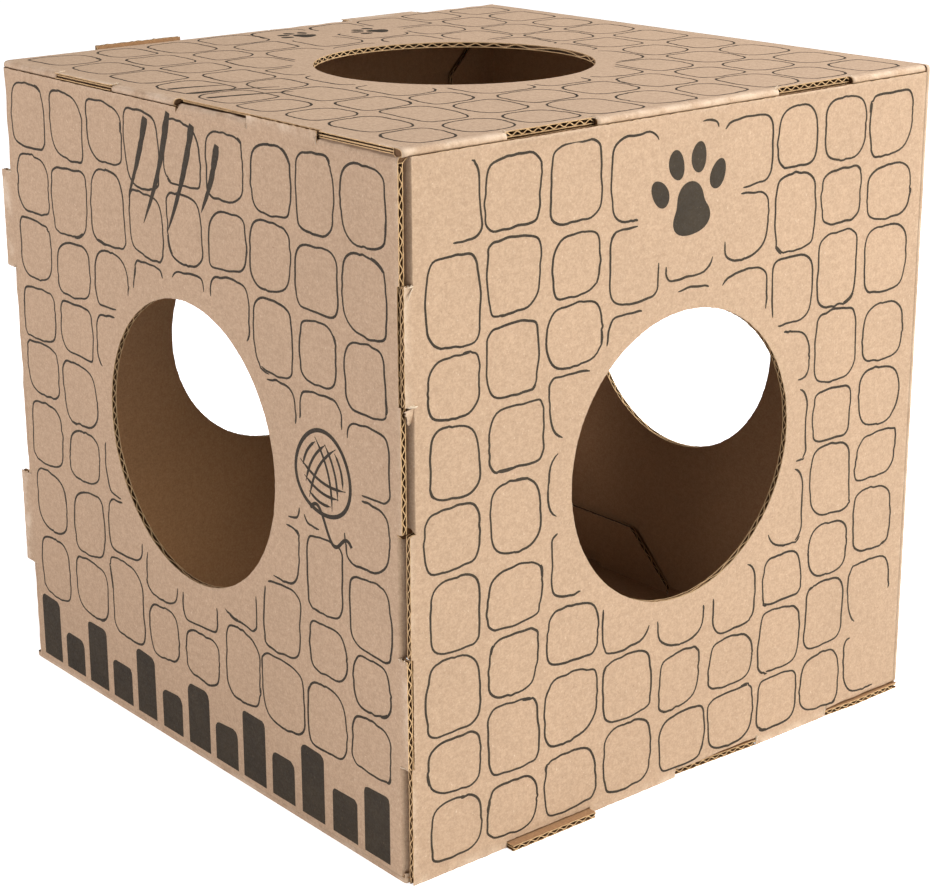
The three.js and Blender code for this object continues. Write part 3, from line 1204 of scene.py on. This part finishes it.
# Each point is the way up to the raw edge in mm, and its share of the height. The last three go below the
# face, and the outside of the rim ends before them.
RIM_PROFILE = [(-7.5, -0.02), (-6.2, 0.05), (-5.0, 0.17), (-3.8, 0.36), (-2.6, 0.6), (-1.4, 0.84)]
RIM_PROFILE += [(-0.5, 1.0), (-0.05, 0.78), (0.0, 0.0), (0.0, -0.3), (-4.0, -0.3)]
OUTSIDE_POINTS = 8
section = [(EDGE_LINE + v * MM, w * RIM_HEIGHT) for v, w in RIM_PROFILE]
place = sheets["front_wall"]["place"]


def faded(u, v, w):
    """Lowers the rim smoothly toward both its ends, and sinks its foot into the face."""
    from_end = limited(min(abs(u) - RIM_SPAN[0], RIM_SPAN[1] - abs(u)) / RIM_TAPER)
    return u, v, (w * from_end ** 2 * (3 - 2 * from_end) if w > 0 else w) - SINK


for title, sign in (("left", -1), ("right", 1)):
    name = f"front_wall_pushed_rim_{title}"
    span = sorted(sign * u for u in RIM_SPAN)
    piece = strip_object(name, place, "front_wall", section, OUTSIDE_POINTS, span, paper_from=EDGE_LINE)
    reshape(piece, place, faded)
    settle(piece, "front_wall")
    print(name, "runs", [round(u / MM) for u in span])

# %% [markdown]
# ## Plain folds
#
# Four cube edges are one uninterrupted fold. The outside turns in a radius of two millimetres, and the
# inner liner makes a sharp valley. Each is a strip too.

# %% The section of a plain fold, and how far it runs
ARC_STEPS = 8
FOLD_RIM = ARC_STEPS + 2


def fold_section():
    """From one panel's outer face round to the other's, then back by the inner valley."""
    round_middle = HALF - FOLD_ROUND
    section = [(EDGE_LINE, 0.0)]
    for i in range(ARC_STEPS + 1):
        angle = math.pi / 2 * i / ARC_STEPS
        section.append((round_middle + FOLD_ROUND * math.sin(angle), FOLD_ROUND * (math.cos(angle) - 1)))
    section.append((HALF, EDGE_LINE - HALF))
    inner = HALF - BOARD
    return section + [(inner, EDGE_LINE - HALF), (inner, -BOARD), (EDGE_LINE, -BOARD)]


def reach_along(panel, place, line, depth):
    """A panel's reach along u at a plain fold, read from its outline."""
    points = [point for loop in outlines_in(place, panel) for point in loop]
    return [point.x for point in points if same(point.y, line) and same(point.z, depth)]


# %% Rounded strips over the plain folds
for joint_name, (still, moving) in FOLDS.items():
    joint = next(j for j in frame["joints"] if j["name"] == joint_name)
    still_out, side = outward_of(still), outward_of(moving)
    place = frame_of(sheets[still]["place"].translation, side.cross(still_out), side, still_out)
    reach = reach_along(still, place, EDGE_LINE, 0.0) + reach_along(moving, place, HALF, EDGE_LINE - HALF)
    span = (min(reach), max(reach))
    kinds = ["fold" if same(abs(u), EDGE_LINE) else "crease" for u in span]
    section = fold_section()
    piece = strip_object(f"{joint_name}_strip", place, still, section, FOLD_RIM, span, kinds)
    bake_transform(piece)
    print(joint_name, "runs", [round(u / MM, 1) for u in span])

# %% [markdown]
# ## The print
#
# The outside is printed with hand-drawn stone blocks. They are drawn by formula: each block is a rounded
# rectangle with uneven corners, and the pen wavers a little and overshoots where it closes. A seeded random
# number makes every run the same. Lines stop short of the hole, which leaves a clear ring around it. Every
# line is a thin ribbon of ink with a real thickness, lying on the liner.

# %% Draw a wavering line as a ribbon of ink
INK_TOP = 0.04 * MM
INK_RISE = 0.012 * MM
MOTIF_LIFT = 0.02 * MM


def ribbon(points, widths, ink, lift=0.0, closed=False):
    """Adds a line to the ink: a strip with a top, sides and an underside. An open line rises a little on its
    way, so that it can cross itself."""
    points = np.asarray(points, float)
    half = normals_along(points, closed) * np.asarray(widths, float)[:, None] / 2
    rings = []
    for i, (left, right) in enumerate(zip(points + half, points - half)):
        top = INK_TOP + lift + (0 if closed else INK_RISE * i / len(points))
        rings.append([(*left, top), (*right, top), (*right, 0), (*left, 0)])
    add_bar(ink, rings, closed)


def patch(loop, ink, lift=0.0):
    """Adds a filled shape to the ink."""
    points, faces, _ = slab([np.asarray(loop, float)], INK_TOP + lift, 0)
    base = len(ink["points"])
    ink["points"] += [tuple(p) for p in points]
    ink["faces"] += [tuple(i + base for i in face) for face in faces]


# %% One hand-drawn stone block
CORNER_STEPS = 9
EDGE_STEPS = 10
PEN_SHAKE = (0.06 * MM, 0.2 * MM)


def stone(middle, width, height, rng):
    """A block outline: four uneven corners, slightly bowed sides, a wavering hand, a hook where it closes."""
    corners = []
    for x, y in ((1, 1), (-1, 1), (-1, -1), (1, -1)):
        reach = (x * width / 2 * rng.uniform(0.84, 1.04), y * height / 2 * rng.uniform(0.86, 1.04))
        corners.append(np.array(middle) + reach)
    radii = [rng.uniform(0.16, 0.44) * min(width, height) for _ in corners]

    def short_of(i, other):
        """The point on a side where the rounding of corner i starts."""
        way = corners[other] - corners[i]
        return corners[i] + way / np.hypot(*way) * radii[i]

    line = []
    for i in range(4):
        following = (i + 1) % 4
        into, out_of = short_of(i, i - 1), short_of(i, following)
        for t in np.linspace(0, 1, CORNER_STEPS):
            line.append((1 - t) ** 2 * into + 2 * t * (1 - t) * corners[i] + t * t * out_of)
        side = short_of(following, i) - out_of
        bow = np.array([side[1], -side[0]]) * rng.uniform(-0.02, 0.07)
        line += [out_of + side * t + bow * 4 * t * (1 - t) for t in np.linspace(0, 1, EDGE_STEPS)[1:-1]]
    line = np.array(line)
    turn = np.linspace(0, 2 * math.pi, len(line), endpoint=False)
    shake = sum(rng.uniform(*PEN_SHAKE) * np.cos(k * turn + rng.uniform(0, 6.28)) for k in (4, 6, 9, 14))
    outward = line - middle
    line += outward / np.hypot(*outward.T)[:, None] * shake[:, None]
    first = rng.randrange(4) * (CORNER_STEPS + EDGE_STEPS - 2) + rng.randrange(CORNER_STEPS)
    line = np.roll(line, -first, 0)
    hook = rng.randrange(2, 6)
    return np.vstack([line, (line[:hook] - middle) * (1 + rng.uniform(-0.05, 0.06)) + middle])


# %% Rows and columns of stones on a panel
PEN_WIDTH = 1.28 * MM
CLEAR_RING = 92 * MM
COLUMNS = 9
GAP_ACROSS, GAP_UPRIGHT = (2, 6), (2.2, 4.5)


def spot(x, y):
    """A place on a panel, in shares of its side from its top left corner."""
    return ((x - 0.5) * SIDE, (0.5 - y) * SIDE)


def runs_outside(points, keep):
    """Splits a line where keep is false, and drops the shortest rests."""
    runs = [[]]
    for point, kept in zip(points, keep):
        if kept:
            runs[-1].append(point)
        elif runs[-1]:
            runs.append([])
    return [run for run in runs if len(run) > 3]


def tapered(count, step, least):
    """Shares of a width that start and end small."""
    to_end = np.minimum(np.arange(count), np.arange(count)[::-1])
    return np.clip(to_end / step + least, 0, 1)


def pen_widths(count, rng):
    wave = np.sin(np.linspace(0, rng.uniform(6, 14), count) + rng.uniform(0, 6.28))
    return PEN_WIDTH * (1 + 0.12 * wave) * tapered(count, 2, 0.45)


def draw_stones(ink, rng, bare_spots, rows=9, bottom=0.985):
    """Fills a panel with stones, column by column, and leaves the bare spots out."""
    low, high = spot(0.028, bottom), spot(0.972, 0.022)
    across = np.array([rng.uniform(0.93, 1.07) for _ in range(COLUMNS)])
    across *= (high[0] - low[0]) / across.sum()
    for column in range(COLUMNS):
        upright = np.array([rng.uniform(0.82, 1.22) for _ in range(rows)])
        upright *= (high[1] - low[1]) / upright.sum()
        for row in range(rows):
            width = across[column] - rng.uniform(*GAP_ACROSS) * MM
            height = upright[row] - rng.uniform(*GAP_UPRIGHT) * MM
            x = low[0] + across[:column].sum() + across[column] / 2 + rng.uniform(-1, 1) * MM
            line = stone((x, high[1] - upright[:row].sum() - upright[row] / 2), width, height, rng)
            keep = np.hypot(*line.T) > CLEAR_RING
            for place, radius in bare_spots:
                keep &= np.hypot(*(line - place).T) > radius
            for run in runs_outside(line, keep):
                ribbon(run, pen_widths(len(run), rng), ink)


# %% Dark round-topped blocks along the bottom
BLOCK_COUNT = 13
BLOCK_HEIGHTS = (0.103 * SIDE, 0.066 * SIDE)


def draw_blocks(ink, rng):
    (left, bottom), (right, _) = spot(0.03, 0.983), spot(0.975, 0.983)
    pitch = (right - left) / BLOCK_COUNT
    for i in range(BLOCK_COUNT):
        width = pitch * 0.77 * rng.uniform(0.95, 1.04)
        height = BLOCK_HEIGHTS[i % 2] * rng.uniform(0.94, 1.05)
        start = left + i * pitch
        corner = rng.uniform(3, 5) * MM
        slope = rng.uniform(-1.2, 1.2) * MM
        loop = [(start, bottom), (start + width, bottom)]
        for middle_x, from_angle, rise in ((width - corner, 0, slope), (corner, math.pi / 2, -slope)):
            for step in range(6):
                angle = from_angle + math.pi / 2 * step / 5
                x = start + middle_x + corner * math.cos(angle)
                y = bottom + height - corner + corner * math.sin(angle) + rise / 2
                loop.append((x + rng.uniform(-0.2, 0.2) * MM, y + rng.uniform(-0.2, 0.2) * MM))
        patch(loop, ink)


# %% [markdown]
# ## Plain motifs
#
# Between the stones sit a few simple drawings in the same ink: a paw print, a ball of wool and a set of
# scratch marks. They are generic shapes made from circles, ellipses and tapered strokes.

# %% Paw print
TOES = ((-0.62, 0.16, 0.5), (-0.24, 0.52, 0.15), (0.24, 0.53, -0.15), (0.62, 0.17, -0.5))


def turned_by(turn, middle, x, y):
    """Coordinates turned by an angle and set about a middle."""
    c, s = math.cos(turn), math.sin(turn)
    return np.stack([middle[0] + c * x - s * y, middle[1] + s * x + c * y], -1)


def ellipse(middle, across, upward, turn, count, rng):
    angle = np.linspace(0, 2 * math.pi, count, endpoint=False)
    wobble = 1 + 0.03 * np.sin(3 * angle + rng.uniform(0, 6))
    return turned_by(turn, middle, across * np.cos(angle) * wobble, upward * np.sin(angle) * wobble)


def draw_paw(ink, middle, size, turn, rng):
    angle = np.linspace(0, 2 * math.pi, 60, endpoint=False)
    radius = 0.40 * (1 - 0.16 * np.cos(2 * angle) - 0.13 * np.sin(3 * angle)) * size
    x, y = radius * np.cos(angle) * 1.08, radius * np.sin(angle) * 0.9 - 0.26 * size
    patch(turned_by(turn, middle, x, y), ink, MOTIF_LIFT)
    for x, y, lean in TOES:
        toe = turned_by(turn, middle, x * size, y * size)
        patch(ellipse(toe, 0.16 * size, 0.24 * size, turn + lean, 36, rng), ink, MOTIF_LIFT)


# %% Ball of wool
WOOL_THICKNESS = 2.3 * MM
STRAND_STEPS = 26
TAIL_STEPS = 50


def draw_wool(ink, middle, radius, rng):
    outline = ellipse(middle, radius, radius * 0.97, 0.0, 72, rng)
    ribbon(outline, np.full(72, WOOL_THICKNESS), ink, MOTIF_LIFT, closed=True)
    for group, tilt in enumerate((0.35, 2.5, 4.5)):
        for k in range(3):
            across = radius * (0.2 + 0.25 * k)
            angle = np.linspace(-1.15 + 0.2 * k, 1.15 - 0.2 * k, STRAND_STEPS)
            x = across + 0.3 * radius * (np.cos(angle) - 1)
            y = math.sqrt(radius ** 2 - across ** 2) * 0.86 * angle / 1.15
            widths = WOOL_THICKNESS * 0.7 * np.maximum(tapered(STRAND_STEPS, 4, 0), 0.3)
            ribbon(turned_by(tilt, middle, x, y), widths, ink, MOTIF_LIFT * (1.5 + group / 2))
    way = np.linspace(0, 1, TAIL_STEPS)
    x = middle[0] - radius * 0.5 + way * radius * 1.5
    y = middle[1] - radius * 0.9 - way * radius * 0.75 + radius * 0.26 * np.sin(way * 8.5)
    ribbon(np.column_stack([x, y]), np.full(TAIL_STEPS, WOOL_THICKNESS * 0.85), ink, MOTIF_LIFT * 3)


# %% Scratches
SCRATCH_STEPS = 22


def draw_scratch(ink, start, end, width, rng):
    """A tapered, ragged stroke."""
    start, end = np.array(start), np.array(end)
    way = np.linspace(0, 1, SCRATCH_STEPS)
    bend = np.array([-(end - start)[1], (end - start)[0]]) * rng.uniform(0.02, 0.05)
    line = start + way[:, None] * (end - start) + np.sin(way * math.pi)[:, None] * bend
    line += np.array([[rng.uniform(-0.12, 0.12) * MM for _ in range(2)] for _ in way])
    nick = 1 - 0.22 * np.clip(np.sin(way * rng.uniform(14, 20) + rng.uniform(0, 6)), 0, 1) ** 3
    widths = width * (1 - way) ** 0.55 * np.clip(way * 10 + 0.75, 0, 1) * nick
    ribbon(line, widths + 0.3 * MM, ink, MOTIF_LIFT)


# %% Print the front, right, left and back walls
def lay_ink(name, ink):
    settle(sheet_object(f"{name}_print", name, ink["points"], ink["faces"], [printed_ink]), name)
    print(name, "print has", len(ink["faces"]), "faces")


PAW = spot(0.5, 0.125)
WOOL = spot(0.825, 0.46)
FRONT_BARE = [(PAW, 38 * MM), (spot(0.04, 0.06), 30 * MM), (spot(0.96, 0.9), 30 * MM)]
LEFT_BARE = [(WOOL, 31 * MM), (spot(0.825, 0.62), 14 * MM)]
LEFT_SCRATCHES = ((0.42, 0.035, 0.12), (0.48, 0.02, 0.17), (0.54, 0.03, 0.16), (0.6, 0.05, 0.1))

for name, seed, bare_spots in (
    ("front_wall", 5, FRONT_BARE),
    ("right_wall", 11, []),
    ("left_wall", 23, LEFT_BARE),
    ("back_wall", 37, []),
):
    rng = random.Random(seed)
    ink = new_mesh()
    if name in ("left_wall", "back_wall"):
        draw_stones(ink, rng, bare_spots, rows=8, bottom=0.872)
        draw_blocks(ink, rng)
    else:
        draw_stones(ink, rng, bare_spots)
    if name == "front_wall":
        draw_paw(ink, PAW, 34 * MM, 0.12, rng)
    if name == "left_wall":
        draw_wool(ink, WOOL, 23 * MM, rng)
        for x, y, length in LEFT_SCRATCHES:
            draw_scratch(ink, spot(x, y), spot(x - length * 0.45, y + length), 5.6 * MM, rng)
    lay_ink(name, ink)

# %% Print the roof
ROOF_PAWS = [(spot(0.5, 0.1), 17 * MM, 0.5), (spot(0.62, 0.14), 17 * MM, 0.9)]
ROOF_SCRATCHES = ((0.04, 0.42, 0.08), (0.04, 0.47, 0.13), (0.04, 0.52, 0.12))
rng = random.Random(41)
ink = new_mesh()
draw_stones(ink, rng, [(place, 22 * MM) for place, _, _ in ROOF_PAWS])
for place, size, turn in ROOF_PAWS:
    draw_paw(ink, place, size, turn, rng)
for x, y, length in ROOF_SCRATCHES:
    draw_scratch(ink, spot(x, y), spot(x + length, y + length * 0.3), 3.6 * MM, rng)
lay_ink("roof", ink)

# %% [markdown]
# ## Studio
#
# The picture was taken on a white sweep, with soft light all round and a slightly warm light from the front
# right. A big pale floor, a dim, faintly blue world and four soft lamps give the same: the front wall is
# brightest, the left wall and roof a little cooler, and the inside stays dark.

# %% Floor
FLOOR_REACH = 30.0
FLOOR_DROP = 0.2 * MM
corners = [(x * FLOOR_REACH, y * FLOOR_REACH, 0) for x, y in ((-1, -1), (1, -1), (1, 1), (-1, 1))]
floor_paint = bpy.data.materials.new("floor_paint")
floor_paint.use_nodes = True
studio_floor = make_object("studio_floor", corners, [(0, 1, 2, 3)], [floor_paint])
# The studio's backdrop burns out to white for the camera, without throwing that much light back at the house.
seen = add(floor_paint.node_tree, "ShaderNodeLightPath", {})["Is Camera Ray"]
fill(floor_paint.node_tree, floor_paint.node_tree.nodes["Principled BSDF"], {
    "Base Color": (0.93, 0.93, 0.93, 1),
    "Roughness": 0.9,
    "Emission Color": (1, 1, 1, 1),
    "Emission Strength": math_node(floor_paint.node_tree, "MULTIPLY_ADD", seen, 0.7, 0.1),
})
studio_floor.location.z = min(cad_low.z, 0) - FLOOR_DROP
print("floor lies at", round(studio_floor.location.z / MM, 1), "mm")

# %% World and lamps
SCENE = bpy.context.scene
SCENE.world = bpy.data.worlds.new("studio")
SCENE.world.use_nodes = True
sky = {"Color": (0.97, 0.985, 1.0, 1), "Strength": 0.22}
fill(SCENE.world.node_tree, SCENE.world.node_tree.nodes["Background"], sky)


def soft_lamp(name, place, size, power, colour):
    light = bpy.data.lights.new(name, "AREA")
    light.shape = "DISK"
    light.size, light.energy, light.color = size, power, colour
    lamp = bpy.data.objects.new(name, light)
    lamp.location = place
    lamp.rotation_mode = "QUATERNION"
    lamp.rotation_quaternion = (HOUSE_MIDDLE - Vector(place)).to_track_quat("-Z", "Y")
    SCENE.collection.objects.link(lamp)


soft_lamp("key", (0.85, -2.7, 1.15), 1.1, 49, (1.0, 0.975, 0.89))
soft_lamp("corner", (1.1, -0.8, 1.6), 0.7, 36, (0.9, 0.93, 1.0))
soft_lamp("left_fill", (-2.6, 1.1, 1.1), 1.8, 60, (0.98, 0.95, 1.0))
soft_lamp("top", (0.5, -0.9, 2.6), 1.5, 18, (0.88, 0.9, 1.0))

# %% Camera, at the place that the cube's corners in the photograph give
CAMERA_PLACE = Vector((-0.8107, -0.9776, 0.5708))
LOOKING = Vector((0.5935, 0.7508, -0.2900)).normalized()
SIDEWAYS = Vector((0.7821, -0.6230, -0.0122))
SIDEWAYS = (SIDEWAYS - LOOKING * SIDEWAYS.dot(LOOKING)).normalized()
lens = bpy.data.cameras.new("camera")
lens.lens = 85.4
lens.sensor_width = 36
lens.shift_x = 0.0643
lens.shift_y = -0.0643
camera = bpy.data.objects.new("camera", lens)
camera.matrix_world = frame_of(CAMERA_PLACE, SIDEWAYS, SIDEWAYS.cross(LOOKING), -LOOKING)
SCENE.collection.objects.link(camera)
SCENE.camera = camera
SCENE.view_settings.view_transform = "Standard"
print("camera is", round((CAMERA_PLACE - HOUSE_MIDDLE).length, 2), "m from the middle of the house")
